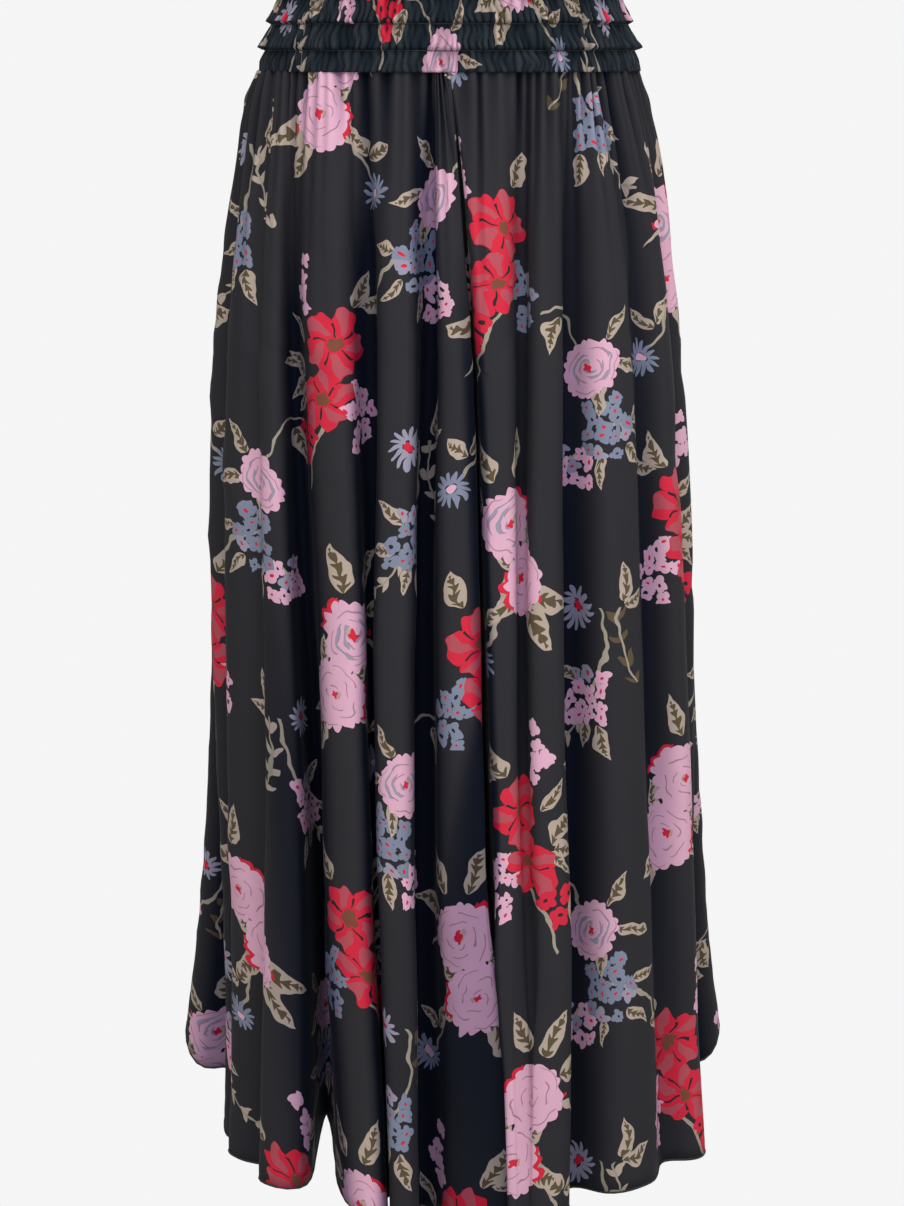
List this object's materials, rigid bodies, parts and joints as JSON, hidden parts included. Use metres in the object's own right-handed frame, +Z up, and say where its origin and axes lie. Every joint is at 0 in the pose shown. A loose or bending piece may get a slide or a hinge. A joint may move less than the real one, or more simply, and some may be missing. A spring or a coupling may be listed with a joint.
{
  "type": "culottes",
  "caption": "Ankle-length wide-leg culottes, gathered into a smocked elastic waistband, in thin dark crepe printed with flower bunches",
  "frame": {"origin": "middle of the waist opening, level with the waistband's top edge, where the wearer holds the garment up", "axes": "+Z up, front faces -Y, the wearer's left is +X"},
  "size_m": [0.4517, 0.3915, 0.983],
  "materials": {
    "leg_cloth": "matt woven crepe, printed with flowers",
    "band_cloth": "matt woven crepe, shirred on elastic thread"
  },
  "bodies": {
    "root": {"waistband_front": "band_cloth", "waistband_back": "band_cloth", "front_leg_right": "leg_cloth", "back_leg_right": "leg_cloth", "front_leg_left": "leg_cloth", "back_leg_left": "leg_cloth"}
  },
  "joints": []
}
